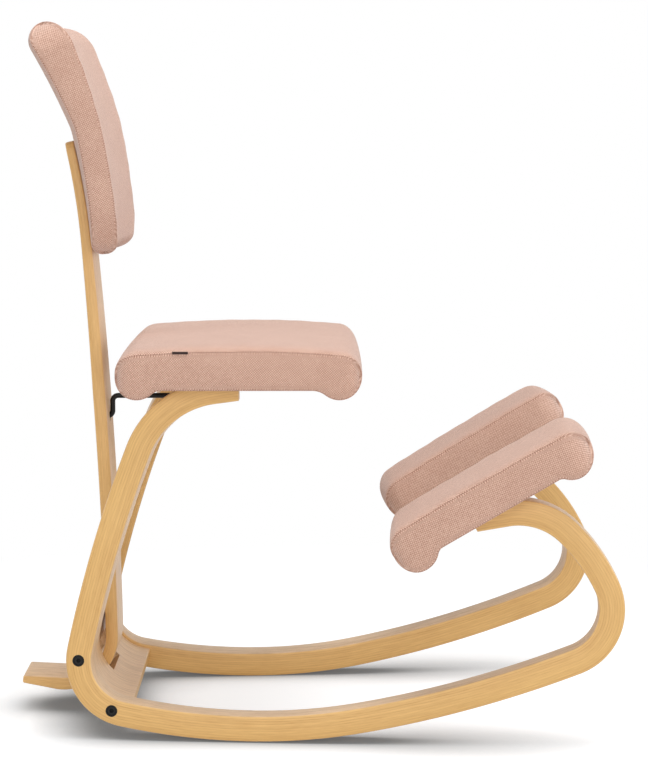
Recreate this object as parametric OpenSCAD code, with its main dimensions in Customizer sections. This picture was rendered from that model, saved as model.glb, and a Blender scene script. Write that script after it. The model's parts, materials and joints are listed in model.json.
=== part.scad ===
// Kneeling chair with a back: two bent-wood rocking runners carry a seat and two
// knee cushions, and a post that hooks into their cross panel carries a back cushion.
// +X is forward, +Y is left and +Z is up. The origin is on the floor, at the middle
// of the chair's length. Lengths are in millimetres and angles in degrees.

/* [Runners] */
// Width of a runner, across the chair
runner_w = 40; // [30:1:55]
// Thickness of a runner's laminated wood
runner_t = 33; // [26:1:40]
// Clear width between the runners where they touch the floor
runner_gap = 324; // [280:2:380]
// Angle by which the runners spread towards the front
toe_out = 3.8; // [0:0.1:6]
// Angle by which the runners lean in towards the top
lean_in = 2.1; // [0:0.1:4]
// Radius of the rocker in front of the floor contact
rock_front_r = 755; // [600:5:1000]
// Turn of that front stretch
rock_front_a = 10.9; // [8:0.1:14]
// Radius of the flatter stretch that leads to the front bend
rise_r = 1490; // [1000:10:2000]
// Turn of that flatter stretch
rise_a = 11; // [8:0.5:14]
// Radius of the front bend
front_bend_r = 72; // [60:1:90]
// Turn of the front bend
front_bend_a = 93.5; // [88:0.5:98]
// Radius of the stretch between the front bend and the knee bend
shin_r = 234; // [200:1:300]
// Turn of that stretch
shin_a = 20.7; // [16:0.1:26]
// Radius of the bend below the knee cushion
knee_bend_r = 91; // [70:1:100]
// Turn of the bend below the knee cushion
knee_bend_a = 54.3; // [50:0.1:58]
// Straight length at the knee end
knee_end_l = 41; // [34:1:50]
// Radius of the rocker behind the floor contact
rock_rear_r = 861; // [700:1:1100]
// Turn of that rear stretch
rock_rear_a = 11.4; // [8:0.1:14]
// Radius of the rear bend
rear_bend_r = 70; // [60:1:85]
// Turn of the rear bend
rear_bend_a = 90.6; // [86:0.1:96]
// Radius of the leg
leg_r = 1735; // [1400:5:2200]
// Turn of the leg
leg_a = 9; // [8:0.5:11]
// Radius of the bend below the seat
seat_bend_r = 122; // [100:1:140]
// Turn of the bend below the seat
seat_bend_a = 61; // [58:1:64]
// Straight length at the seat end
seat_end_l = 30; // [26:1:40]
// Thickness left at the runner's seat end, where it is sawn flat for the seat
seat_tip_t = 16.5; // [12:0.5:20]
// Thickness left at the runner's knee end
knee_tip_t = 14.5; // [12:0.5:17]

/* [Cross panel] */
// Thickness of the panel's plywood
panel_t = 24; // [18:1:28]
// Length of the panel in front of the rear bend
panel_foot = 8; // [2:1:30]
// Length of the panel above the rear bend
panel_head = 26; // [10:1:60]
// Place of the slot's upper end, as an angle before the bend's middle
slot_up_a = 30; // [26:1:32]
// Space between the slot's lower end and the post on the inner side
slot_play = 8.5; // [2:0.5:12]
// Space between the post and each side of the slot
slot_side = 1.5; // [0.5:0.5:4]

/* [Panel screws] */
// Diameter of the panel screws
screw_d = 8; // [6:1:10]
// Angle of each panel screw from the bend's middle
screw_a = 34; // [33:1:38]
// Depth of the screw in the panel
screw_in = 28; // [20:1:40]
// Diameter of the cup round a screw head
cup_d = 15.5; // [14:0.5:18]
// Depth of the cup
cup_h = 8; // [7:0.5:12]

/* [Back post] */
// Width of the back post
post_w = 85; // [60:1:100]
// Thickness of the post's laminated wood
post_t = 17; // [14:0.5:20]
// Thickness of the post at its upper end
post_top_t = 12; // [8:0.5:13]
// Thickness of the tail at its end
tail_t = 10; // [8:0.5:13]
// Radius of the bend at the post's foot
foot_r = 66; // [60:1:74]
// Turn of the bend at the post's foot
foot_a = 98; // [94:0.1:102]
// Straight length of the tail behind the bend
tail_l = 48; // [30:1:70]
// Slope of the tail, up towards its end
tail_slope = 7; // [4:0.5:10]
// Height of the centre of the post's foot bend above the floor
foot_z = 105; // [100:0.5:108]
// Distance from the rear bend's centre back to the foot bend's centre
foot_back = 107.5; // [102:0.5:112]
// Height above which the post gets thinner
taper_z = 440; // [380:10:520]
// Radius of the long lower stretch of the post
post_low_r = 6800; // [6000:100:12000]
// Turn of that stretch
post_low_a = 4.5; // [3.5:0.1:5]
// Radius of the upper stretch, behind the back cushion
post_high_r = 950; // [700:10:1400]
// Turn of that stretch
post_high_a = 8.2; // [7:0.1:10]
// Radius of the post's upper corners
post_corner_r = 14; // [6:1:25]

/* [Seat] */
// Length of the seat cushion
seat_l = 316; // [280:2:360]
// Width of the seat cushion
seat_w = 422; // [390:2:460]
// Radius of the seat cushion's rolled ends
seat_roll_r = 29; // [25:0.5:34]
// Height of the rolls' centre above the seat's underside
seat_roll_z = 17; // [14:0.5:22]
// Rise of the seat's top between its rolls
seat_crown = 8; // [2:0.5:10]
// Radius of the seat's corners, seen from above
seat_corner_r = 20; // [15:1:50]
// Thickness of the seat board
seat_board_t = 12; // [9:1:15]

/* [Knee cushions] */
// Slope of the knee cushions
knee_tilt = 31; // [28:0.5:33]
// Length of a knee cushion
knee_l = 288; // [250:2:300]
// Width of a knee cushion
knee_w = 138; // [120:1:150]
// Radius of the knee cushion's rolled ends
knee_roll_r = 29; // [25:0.5:32]
// Height of the rolls' centre above the knee cushion's underside
knee_roll_z = 17.5; // [15:0.5:22]
// Rise of the knee cushion's top between its rolls
knee_crown = 4; // [1:0.5:5]
// Radius of the knee cushion's corners
knee_corner_r = 18; // [10:1:35]
// Distance from the runner's end to the cushion's middle
knee_ahead = 39; // [20:1:50]
// Thickness of a knee board
knee_board_t = 12; // [9:1:15]

/* [Back cushion] */
// Width of the back cushion
back_w = 310; // [260:2:360]
// Thickness of the back cushion
back_t = 33; // [30:1:42]
// Radius of its curve round the sitter
back_wrap_r = 740; // [450:10:900]
// Height of the cushion's lower edge above the floor
back_low_z = 627; // [610:1:650]
// Height of the cushion's upper edge above the floor
back_high_z = 927.5; // [900:0.5:960]
// Radius of the roll at the upper edge
back_roll_r = 25; // [20:0.5:32]
// Length over which the roll fades into the cushion
back_fade = 108; // [60:1:120]
// Radius of the cushion's corners, seen from the front
back_corner_r = 32; // [10:1:45]
// Thickness of the curved board inside
back_board_t = 9; // [6:0.5:12]

/* [Cushion build] */
// Thickness of the textile covers
cover_t = 1.5; // [1:0.1:3]
// Distance from a board's edge to the cushion's edge
board_edge = 16; // [12:1:24]

/* [Screws of the cushions] */
// Diameter of the cushion screws
bolt_d = 6; // [5:0.5:8]
// Distance from the runner's end to the first cushion screw
bolt_first = 22; // [16:1:30]
// Distance between the two screws in one runner's end
bolt_pitch = 34; // [24:1:40]
// Height of the first back screw above the cushion's lower edge
back_bolt_low = 38; // [30:1:50]
// Distance between the back screws, up the post
back_bolt_rise = 70; // [50:1:80]
// Distance between the back screws, across the post
back_bolt_span = 42; // [30:1:50]

/* [Support rod] */
// Diameter of the steel rod
rod_d = 7; // [5:0.5:9]
// Radius of the rod's bends, at its middle
rod_bend_r = 7.5; // [5:0.5:12]
// Drop from the seat's underside to the rod
rod_drop = 30; // [24:1:36]
// Drop from the rod's upper stretch to its lower end
rod_hook = 28; // [20:1:40]
// Length of the rod's end inside the post
rod_in = 12; // [10:0.5:13]
// Length of the block that holds the rod
block_l = 46; // [36:1:60]
// Width of the block
block_w = 34; // [26:1:50]
// Distance from the middle of the seat back to the block's middle
block_back = 56; // [45:1:70]

/* [Tag] */
// Length of the seam tag
tag_l = 20; // [12:1:30]
// Depth of the seam tag
tag_h = 3; // [3:0.5:8]

/* [Hidden] */
$fn = 96;
long_fn = 360;

wood = "#dbb377";
veneer = "#d3bda0";
cloth = "#d9b09b";
foam = "#efe3c8";
black = "#1d1c1b";
steel = "#b9bcc0";

clearance = 0.3;
thread_gap = 0.05;
reach = 1000;
saw_spare = 14;
slot_spare = 10;
wrap_a = 44;
bow = 0.05;
screw_grip = 9;
back_grip = 6;
insert_d = screw_d + 4;
tag_out = 1.2;
tag_back = 73;

// ---- paths of bent wood: a place is [x, z, heading] and a stretch is [radius, turn] ----
function arc_on(p, r, a) = [p[0] + r * (sin(p[2] + a) - sin(p[2])),
                            p[1] - r * (cos(p[2] + a) - cos(p[2])), p[2] + a];
function line_on(p, l) = [p[0] + l * cos(p[2]), p[1] + l * sin(p[2]), p[2]];
function side_of(p, d) = [p[0] - d * sin(p[2]), p[1] + d * cos(p[2])];
function polar(c, r, a) = [c[0] + r * cos(a), c[1] + r * sin(a)];
function mirrored(p) = [-p[0], p[1]];
function run(p, stretches, i = 0) =
    i == len(stretches) ? p : run(arc_on(p, stretches[i][0], stretches[i][1]), stretches, i + 1);

// Points along a way: a drawn chord stands off its arc by at most bow.
function arc_steps(r, a) = ceil(abs(a) * PI / 180 * r / sqrt(8 * r * bow));
function arc_points(c, r, a0, a1) =
    let (n = arc_steps(r, a1 - a0)) [for (i = [0:n]) polar(c, r, a0 + (a1 - a0) * i / n)];
function way_places(p, stretches, i = 0) =
    i == len(stretches) ? [p] :
    let (r = stretches[i][0], a = stretches[i][1], n = arc_steps(r, a))
    concat([for (k = [0:n - 1]) arc_on(p, r, a * k / n)], way_places(arc_on(p, r, a), stretches, i + 1));
function with_end(places, l) = concat(places, [line_on(places[len(places) - 1], l)]);
function backwards(list) = [for (i = [len(list) - 1:-1:0]) list[i]];

front_way = [[rock_front_r, rock_front_a], [rise_r, rise_a], [front_bend_r, front_bend_a],
             [shin_r, shin_a], [knee_bend_r, knee_bend_a]];
rear_way = [[rock_rear_r, rock_rear_a], [rear_bend_r, rear_bend_a], [leg_r, leg_a],
            [seat_bend_r, seat_bend_a]];
floor_touch = [0, runner_t / 2, 0];

// The rear way is worked out as a mirror image, so its x is negative in the chair.
front_end = line_on(run(floor_touch, front_way), knee_end_l);
rear_end = line_on(run(floor_touch, rear_way), seat_end_l);

// A runner's own place [x, sideways out, z] in the chair, on the left.
function in_chair(x, out, z) =
    let (y = out * cos(lean_in) - z * sin(lean_in))
    [x * cos(toe_out) - y * sin(toe_out),
     x * sin(toe_out) + y * cos(toe_out) + runner_gap / 2,
     out * sin(lean_in) + z * cos(lean_in)];

// The chair's ends and the origin between them.
bend_out = run(floor_touch, [front_way[0], front_way[1]]);
front_centre = side_of(bend_out, front_bend_r);
front_x = in_chair(front_centre[0] + front_bend_r + runner_t / 2, 0, front_centre[1])[0];

// Seats sawn on the runners' ends.
seat_under = side_of(rear_end, runner_t / 2);
seat_tip = in_chair(-seat_under[0], runner_w / 2, seat_under[1]);
seat_z = seat_tip[2] + seat_tip_t;
knee_under = side_of(front_end, runner_t / 2);
knee_tip = in_chair(knee_under[0], runner_w / 2, knee_under[1]);
knee_v = knee_tip[2] * cos(knee_tilt) - knee_tip[0] * sin(knee_tilt) + knee_tip_t;
knee_tip_u = knee_tip[0] * cos(knee_tilt) + knee_tip[2] * sin(knee_tilt);
knee_y = knee_tip[1];
knee_turn = atan(cos(knee_tilt) * tan(toe_out));
tag_drop = seat_crown * pow((tag_back + tag_l / 2) / (seat_l / 2 - seat_roll_r), 2);
tag_top_z = seat_z + seat_roll_z + seat_roll_r + seat_crown - tag_drop;

// Rear bend of the runners, which the panel follows.
bend_in = run(floor_touch, [rear_way[0]]);
bend_side = side_of(bend_in, rear_bend_r);
bend_place = in_chair(-bend_side[0], 0, bend_side[1]);
bend_c = [bend_place[0], bend_place[2]];
bend_mid = 270 - rock_rear_a - rear_bend_a / 2;

// Back post: it bends through the slot, so its foot bend lies behind the panel's.
foot_c = [bend_c[0] - foot_back, foot_z];
tail_join = concat(polar(foot_c, foot_r, 270 - tail_slope), [-tail_slope]);
tail_end = line_on(tail_join, -tail_l);
post_way = [[foot_r, foot_a], [post_low_r, post_low_a], [post_high_r, post_high_a]];
stem_foot = run(tail_join, [post_way[0]]);
stem_mid = run(tail_join, [post_way[0], post_way[1]]);
stem_top = run(tail_join, post_way);
low_c = side_of(stem_foot, post_low_r);
high_c = side_of(stem_mid, post_high_r);
tail_x = side_of(tail_end, tail_t / 2)[0];
function post_front_x(z) = low_c[0] + sqrt(pow(post_low_r + post_t / 2, 2) - pow(z - low_c[1], 2));

// The origin lies midway between the front bends and the tail.
origin_x = (front_x + tail_x) / 2;

// Slot in the panel. The post's front face meets a circle of radius r round the bend there.
panel_in = rear_bend_r - panel_t / 2;
panel_out = rear_bend_r + panel_t / 2;
foot_far = norm(foot_c - bend_c);
foot_front = foot_r + post_t / 2;
foot_dir = 180 - asin((foot_c[1] - bend_c[1]) / foot_far);
function post_meets(r) =
    foot_dir + acos((foot_far * foot_far + r * r - foot_front * foot_front) / (2 * foot_far * r));
function along(l, r) = l / r * 180 / PI;
slot_up = bend_mid - slot_up_a;
slot_low_in = post_meets(panel_in) + along(slot_play, panel_in);
slot_low_out = post_meets(panel_out) + along(clearance, panel_out);

// Cushion screws: [x, y] in the seat's frame and in the knee cushions' sloping frame.
screw_steps = [bolt_first, bolt_first + bolt_pitch];
seat_screws = [for (s = screw_steps) [seat_tip[0] - s, seat_tip[1] - s * tan(toe_out)]];
knee_screws = [for (s = screw_steps) [knee_tip_u + s, knee_y + s * tan(knee_turn)]];
washer_d = 2 * bolt_d;
washer_t = 1.5;
recess_d = washer_d + 1;
nut_flange_d = 3 * bolt_d;
nut_flange_t = 1.5;
nut_barrel_d = bolt_d + 2.5;
head_h = bolt_d;
head_d = 1.65 * bolt_d;
hex_d = 0.9 * bolt_d;

// Back cushion: its rear face lies on the post's front face, and both curve round high_c.
back_rear_r = post_high_r + post_t / 2 + clearance;
back_front_r = back_rear_r + back_t;
back_mid_r = back_rear_r + back_t / 2;
roll_ring_r = back_front_r - back_roll_r;
back_low_a = asin((back_low_z + back_t / 2 - high_c[1]) / back_mid_r);
roll_z = back_high_z - back_roll_r;
back_high_a = asin((roll_z - high_c[1]) / roll_ring_r);
back_fade_a = asin((roll_z - back_fade - high_c[1]) / back_rear_r);
roll_c = polar(high_c, roll_ring_r, back_high_a);
wrap_x = polar(high_c, back_rear_r, stem_top[2] - 90)[0] + back_wrap_r;
back_screw_rise = [back_bolt_low, back_bolt_low + back_bolt_rise];
function back_screw_a(rise) = asin((back_low_z + rise - high_c[1]) / back_rear_r);

// Support rod and its block.
rod_high_z = seat_z - rod_drop;
rod_low_z = rod_high_z - rod_hook;
rod_face_x = post_front_x(rod_low_z);
rod_x = rod_face_x + clearance + rod_d / 2;
block_x = seat_tip[0] - block_back;
block_h = rod_drop + rod_d;
sleeve_d = rod_d + 4;
mouth_d = 2 * rod_d;
mouth_l = rod_bend_r - rod_d / 2;
rod_stop = 5;
block_screw_d = 5;
block_screw_y = block_w / 2 - 7;

// ---- shared shapes ----
module placed() {
    translate([-origin_x, 0, 0])
        children();
}

module both_sides() {
    children();
    mirror([0, 1, 0])
        children();
}

// The left runner's own frame: x forward, y out from its inner face, z up.
module at_runner() {
    translate([0, runner_gap / 2, 0])
        rotate([0, 0, toe_out])
            rotate([lean_in, 0, 0])
                children();
}

// Turns a shape drawn in x and y upright, with its height along y from 0 to w.
module upright(w) {
    translate([0, w, 0])
        rotate([90, 0, 0])
            children();
}

module rounded_rect(l, w, r) {
    square([l - 2 * r, w], center = true);
    square([l, w - 2 * r], center = true);
    for (x = [-1, 1], y = [-1, 1])
        translate([x * (l / 2 - r), y * (w / 2 - r)])
            circle(r = r);
}

module disc(d, h, z = 0) {
    translate([0, 0, z])
        cylinder(d = d, h = h);
}

// ---- runners ----
// Side view of the band. The rear way is drawn as a mirror image of the front one.
module runner_outline() {
    half = runner_t / 2;
    front = with_end(way_places(floor_touch, front_way), knee_end_l + saw_spare);
    rear = with_end(way_places(floor_touch, rear_way), seat_end_l + saw_spare);
    polygon(concat([for (p = backwards(rear)) mirrored(side_of(p, -half))],
                   [for (p = front) side_of(p, -half)],
                   [for (p = backwards(front)) side_of(p, half)],
                   [for (p = rear) mirrored(side_of(p, half))]));
}

module runner_blank() {
    upright(runner_w)
        linear_extrude(runner_w)
            runner_outline();
}

module at_panel_screws() {
    own_c = [-bend_side[0], bend_side[1]];
    for (a = [-screw_a, screw_a]) {
        p = polar(own_c, rear_bend_r, bend_mid + a);
        translate([p[0], runner_w, p[1]])
            rotate([-90, 0, 0])
                children();
    }
}

module at_knees() {
    rotate([0, -knee_tilt, 0])
        translate([0, 0, knee_v])
            children();
}

module at_seat_screws() {
    for (p = seat_screws)
        translate([p[0], p[1], seat_z])
            children();
}

module at_knee_screws() {
    at_knees()
        for (p = knee_screws)
            translate([p[0], p[1], 0])
                children();
}

module screw_way(grip) {
    disc(bolt_d + 2 * clearance, 2 * grip, -grip - 1);
    disc(recess_d, reach / 20, -grip - reach / 20);
}

module runner() {
    color(wood)
        placed()
            difference() {
                at_runner()
                    difference() {
                        runner_blank();
                        at_panel_screws() {
                            disc(screw_d + 2 * clearance, 2 * runner_w, -1.5 * runner_w);
                            disc(cup_d + 2 * thread_gap, 2 * cup_h, -cup_h);
                        }
                    }
                // flat seat for the seat cushion, and the runner's end there
                translate([-reach / 2, 0, seat_z])
                    cube([reach, reach, reach]);
                translate([seat_tip[0], 0, seat_z - 2 * runner_t])
                    cube([3 * saw_spare, reach, reach]);
                // sloping seat for the knee cushion, and the runner's end there
                at_knees() {
                    translate([knee_tip_u - 2 * saw_spare, 0, 0])
                        cube([reach / 2, reach, reach / 4]);
                    translate([knee_tip_u - 3 * saw_spare, 0, -2 * runner_t])
                        cube([3 * saw_spare, reach, 3 * runner_t]);
                }
                at_seat_screws()
                    screw_way(screw_grip);
                at_knee_screws()
                    screw_way(screw_grip);
            }
}

module runner_left() {
    runner();
}

module runner_right() {
    mirror([0, 1, 0])
        runner();
}

// ---- cross panel and its fixings ----
module cross_panel() {
    color(veneer)
        placed()
            difference() {
                translate([0, -runner_gap / 2, 0])
                    upright(runner_gap)
                        linear_extrude(runner_gap)
                            panel_outline();
                both_sides()
                    at_runner() {
                        translate([-reach, 0, -reach])
                            cube([2 * reach, reach, 2 * reach]);
                        at_panel_screws()
                            disc(insert_d + 2 * thread_gap, screw_in + 2, -runner_w - screw_in - 1);
                    }
                translate([0, post_w / 2 + slot_side, 0])
                    rotate([90, 0, 0])
                        linear_extrude(post_w + 2 * slot_side)
                            slot_outline();
            }
}

// Side view of the panel, with its straight foot and head.
module panel_outline() {
    a_low = 270 - rock_rear_a;
    a_high = a_low - rear_bend_a;
    foot = [-sin(a_low), cos(a_low)] * panel_foot;
    head = [-sin(a_high), cos(a_high)] * -panel_head;
    inner = arc_points(bend_c, panel_in, a_low, a_high);
    outer = arc_points(bend_c, panel_out, a_high, a_low);
    polygon(concat([inner[0] + foot], inner, [inner[len(inner) - 1] + head],
                   [outer[0] + head], outer, [outer[len(outer) - 1] + foot]));
}

module slot_outline() {
    polygon([polar(bend_c, panel_in - slot_spare, slot_up), polar(bend_c, panel_out + slot_spare, slot_up),
             polar(bend_c, panel_out + slot_spare, slot_low_out), polar(bend_c, panel_out, slot_low_out),
             polar(bend_c, panel_in, slot_low_in), polar(bend_c, panel_in - slot_spare, slot_low_in)]);
}

module panel_screws() {
    head_l = cup_h - 2;
    color(black)
        placed()
            both_sides()
                at_runner()
                    at_panel_screws()
                        difference() {
                            union() {
                                disc(cup_d - 4, head_l, -cup_h + 1);
                                disc(screw_d, runner_w + screw_in - cup_h + 1, -runner_w - screw_in);
                            }
                            translate([0, 0, -3])
                                cylinder(d = 0.75 * screw_d, h = 10, $fn = 6);
                        }
}

module panel_cups() {
    color(black)
        placed()
            both_sides()
                at_runner()
                    at_panel_screws()
                        difference() {
                            disc(cup_d, cup_h, -cup_h);
                            disc(cup_d - 3, cup_h, -cup_h + 1);
                            disc(screw_d + 2 * clearance, 3, -cup_h - 1);
                        }
}

module panel_inserts() {
    color(steel)
        placed()
            both_sides()
                at_runner()
                    at_panel_screws()
                        difference() {
                            disc(insert_d, screw_in - clearance, -runner_w - screw_in);
                            disc(screw_d + 2 * thread_gap, screw_in + 2, -runner_w - screw_in - 1);
                        }
}

// ---- back post ----
function post_t_at(z) =
    post_t - (post_t - post_top_t) * max(0, z - taper_z) / (stem_top[1] - taper_z);

// The post's centre line, from the tail's end to the top.
post_line = concat([tail_end], way_places(tail_join, post_way));

// The wood gets thinner from behind, and the tail gets thinner from below.
function front_side(p) = side_of(p, p == tail_end ? -tail_t / 2 : -post_t / 2);
function rear_side(p) = side_of(p, p == tail_end ? tail_t / 2 : post_t_at(p[1]) - post_t / 2);

module post_outline() {
    polygon(concat([for (p = post_line) front_side(p)],
                   [for (p = backwards(post_line)) rear_side(p)]));
}

module back_post() {
    color(veneer)
        placed()
            difference() {
                intersection() {
                    translate([0, post_w / 2, 0])
                        rotate([90, 0, 0])
                            linear_extrude(post_w)
                                post_outline();
                    translate([-reach, 0, stem_top[1] / 2])
                        rotate([90, 0, 90])
                            linear_extrude(2 * reach)
                                rounded_rect(post_w, stem_top[1], post_corner_r);
                }
                translate([rod_face_x, 0, rod_low_z])
                    rotate([0, 90, 0]) {
                        disc(sleeve_d + 2 * thread_gap, rod_in + 1, -rod_in - 1);
                        disc(mouth_d, mouth_l + post_t, -mouth_l);
                    }
                at_back_screws() {
                    disc(bolt_d + 2 * clearance, post_t, -post_t);
                    disc(recess_d, post_t, -post_t - back_grip);
                }
            }
}

module at_back_screws() {
    for (rise = back_screw_rise, y = [-1, 1])
        translate([high_c[0], 0, high_c[1]])
            rotate([0, -back_screw_a(rise), 0])
                translate([back_rear_r - clearance, y * back_bolt_span / 2, 0])
                    rotate([0, 90, 0])
                        children();
}

module rod_sleeve() {
    color(steel)
        placed()
            translate([rod_face_x, 0, rod_low_z])
                rotate([0, 90, 0])
                    difference() {
                        disc(sleeve_d, rod_in + 1 - mouth_l, -rod_in - 1);
                        disc(rod_d + 2 * thread_gap, rod_in, -rod_in);
                    }
}

// ---- support rod ----
module rod_length(l) {
    rotate([0, 90, 0])
        cylinder(d = rod_d, h = l);
}

module rod_turn() {
    rotate([90, 0, 0])
        rotate_extrude(angle = 90)
            translate([rod_bend_r, 0])
                circle(d = rod_d);
}

module support_rod() {
    start_x = rod_face_x - rod_in + clearance;
    end_x = block_x + block_l / 2 - rod_stop - clearance;
    color(black)
        placed() {
            translate([start_x, 0, rod_low_z])
                rod_length(rod_x - rod_bend_r - start_x);
            translate([rod_x - rod_bend_r, 0, rod_low_z + rod_bend_r])
                rotate([0, 90, 0])
                    rod_turn();
            translate([rod_x, 0, rod_low_z + rod_bend_r])
                cylinder(d = rod_d, h = rod_hook - 2 * rod_bend_r);
            translate([rod_x + rod_bend_r, 0, rod_high_z - rod_bend_r])
                rotate([0, -90, 0])
                    rod_turn();
            translate([rod_x + rod_bend_r, 0, rod_high_z])
                rod_length(end_x - rod_x - rod_bend_r);
        }
}

module at_block_screws() {
    for (x = [-1, 1], y = [-1, 1])
        translate([block_x + x * (block_l / 2 - 9), y * block_screw_y, seat_z])
            children();
}

module rod_block() {
    color(black)
        placed()
            difference() {
                translate([block_x - block_l / 2, -block_w / 2, seat_z - block_h])
                    cube([block_l, block_w, block_h]);
                translate([block_x - block_l / 2 - 1, 0, rod_high_z])
                    rotate([0, 90, 0])
                        cylinder(d = rod_d + 2 * thread_gap, h = block_l - rod_stop + 1);
                at_block_screws() {
                    disc(block_screw_d + 2 * clearance, 2 * block_h, -1.5 * block_h);
                    disc(2 * block_screw_d + 2 * clearance, block_h, -block_h - block_h / 2);
                }
            }
}

module rod_block_screws() {
    color(steel)
        placed()
            at_block_screws() {
                disc(block_screw_d, block_h / 2 + cover_t + seat_board_t - 2, -block_h / 2);
                difference() {
                    disc(2 * block_screw_d, 4, -block_h / 2 - 4);
                    translate([0, 0, -block_h / 2 - 5])
                        cylinder(d = 0.8 * block_screw_d, h = 4, $fn = 6);
                }
            }
}

// ---- cushions ----
// Side view of a cushion with rolled ends: the underside between the rolls is at 0.
module cushion_side(l, roll, rise, crown, inset) {
    half = l / 2 - roll;
    top = rise + roll + crown;
    crown_r = (half * half + crown * crown) / (2 * crown);
    for (x = [-1, 1])
        translate([x * half, rise])
            circle(r = roll - inset);
    intersection() {
        translate([-half, inset])
            square([2 * half, top]);
        translate([0, top - crown_r])
            circle(r = crown_r - inset, $fn = long_fn);
    }
}

module cushion(l, w, roll, rise, crown, corner, inset = 0) {
    intersection() {
        translate([0, w / 2 - inset, 0])
            rotate([90, 0, 0])
                linear_extrude(w - 2 * inset)
                    cushion_side(l, roll, rise, crown, inset);
        translate([0, 0, -2 * roll])
            linear_extrude(6 * roll)
                rounded_rect(l - 2 * inset, w - 2 * inset, corner - inset);
    }
}

module seat_form(inset = 0) {
    translate([seat_tip[0], 0, seat_z])
        cushion(seat_l, seat_w, seat_roll_r, seat_roll_z, seat_crown, seat_corner_r, inset);
}

module knee_form(inset = 0) {
    at_knees()
        translate([knee_tip_u + knee_ahead, knee_y, 0])
            rotate([0, 0, knee_turn])
                cushion(knee_l, knee_w, knee_roll_r, knee_roll_z, knee_crown, knee_corner_r, inset);
}

module seat_board_blank() {
    translate([seat_tip[0], 0, seat_z + cover_t])
        linear_extrude(seat_board_t)
            rounded_rect(seat_l - 2 * board_edge, seat_w - 2 * board_edge, seat_corner_r);
}

module knee_board_blank() {
    at_knees()
        translate([knee_tip_u + knee_ahead, knee_y, cover_t])
            rotate([0, 0, knee_turn])
                linear_extrude(knee_board_t)
                    rounded_rect(knee_l - 2 * board_edge, knee_w - 2 * board_edge, knee_corner_r);
}

// A tee nut's hole and pocket, from the cushion's underside up.
module nut_way(board_t) {
    disc(nut_barrel_d + 2 * thread_gap, board_t + cover_t + 1, -1);
    disc(nut_flange_d + 2 * clearance, nut_flange_t + clearance, cover_t + board_t);
    disc(bolt_d + 2 * clearance, nut_flange_t + 4, cover_t + board_t);
}

module seat_ways() {
    both_sides()
        at_seat_screws()
            nut_way(seat_board_t);
    at_block_screws()
        disc(block_screw_d + 2 * thread_gap, cover_t + seat_board_t - 1, -1);
}

module seat_board() {
    color(veneer)
        placed()
            difference() {
                seat_board_blank();
                seat_ways();
            }
}

module seat_foam() {
    color(foam)
        placed()
            difference() {
                seat_form(cover_t);
                seat_board_blank();
                seat_ways();
            }
}

module seat_cover() {
    color(cloth)
        placed()
            difference() {
                seat_form();
                seat_form(cover_t);
                seat_ways();
            }
}

module knee_board() {
    color(veneer)
        placed()
            difference() {
                knee_board_blank();
                at_knee_screws()
                    nut_way(knee_board_t);
            }
}

module knee_foam() {
    color(foam)
        placed()
            difference() {
                knee_form(cover_t);
                knee_board_blank();
                at_knee_screws()
                    nut_way(knee_board_t);
            }
}

module knee_cover() {
    color(cloth)
        placed()
            difference() {
                knee_form();
                knee_form(cover_t);
                at_knee_screws()
                    nut_way(knee_board_t);
            }
}

module knee_board_left() {
    knee_board();
}

module knee_board_right() {
    mirror([0, 1, 0])
        knee_board();
}

module knee_foam_left() {
    knee_foam();
}

module knee_foam_right() {
    mirror([0, 1, 0])
        knee_foam();
}

module knee_cover_left() {
    knee_cover();
}

module knee_cover_right() {
    mirror([0, 1, 0])
        knee_cover();
}

module seam_tag() {
    color("#3b2a26")
        placed()
            translate([seat_tip[0] - tag_back - tag_l / 2, -seat_w / 2 - tag_out, tag_top_z - tag_h])
                cube([tag_l, tag_out, tag_h]);
}

// ---- back cushion ----
function tangent_angle(c, r, p) = 360 + atan2(p[1] - c[1], p[0] - c[0]) - acos(r / norm(p - c));

module ring_part(c, r0, r1, a0, a1) {
    intersection() {
        difference() {
            translate(c)
                circle(r = r1, $fn = long_fn);
            translate(c)
                circle(r = r0, $fn = long_fn);
        }
        polygon([c, polar(c, 2 * r1, a0), polar(c, 2 * r1, a1)]);
    }
}

// Side view of the back cushion at the middle of its width.
module back_side(inset) {
    rear = arc_points(high_c, back_rear_r + inset, back_low_a, back_fade_a);
    fade = rear[len(rear) - 1];
    polygon(concat(rear,
        arc_points(roll_c, back_roll_r - inset,
                   tangent_angle(roll_c, back_roll_r - inset, fade), back_high_a),
        arc_points(high_c, back_front_r - inset, back_high_a, back_low_a),
        arc_points(polar(high_c, back_mid_r, back_low_a), back_t / 2 - inset, back_low_a, back_low_a - 180)));
}

// Sweeps a side view round the sitter.
module wrapped() {
    translate([wrap_x, 0, 0])
        rotate([0, 0, 180 - wrap_a / 2])
            rotate_extrude(angle = wrap_a, $fn = long_fn)
                mirror([1, 0])
                    translate([-wrap_x, 0])
                        children();
}

module back_front_view(inset) {
    translate([-reach, 0, (back_low_z + back_high_z) / 2])
        rotate([90, 0, 90])
            linear_extrude(2 * reach)
                rounded_rect(back_w - 2 * inset, back_high_z - back_low_z - 2 * inset, back_corner_r - inset);
}

module back_form(inset = 0) {
    intersection() {
        wrapped()
            back_side(inset);
        back_front_view(inset);
    }
}

module back_board_blank(spare = 0) {
    intersection() {
        wrapped()
            ring_part(high_c, back_rear_r + cover_t - spare, back_rear_r + cover_t + back_board_t,
                      back_low_a - 1, back_high_a);
        back_front_view(board_edge);
    }
}

module back_board() {
    color(veneer)
        placed()
            difference() {
                back_board_blank();
                at_back_screws()
                    nut_way(back_board_t);
            }
}

module back_foam() {
    color(foam)
        placed()
            difference() {
                back_form(cover_t);
                back_board_blank(clearance);
                at_back_screws()
                    nut_way(back_board_t);
            }
}

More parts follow.
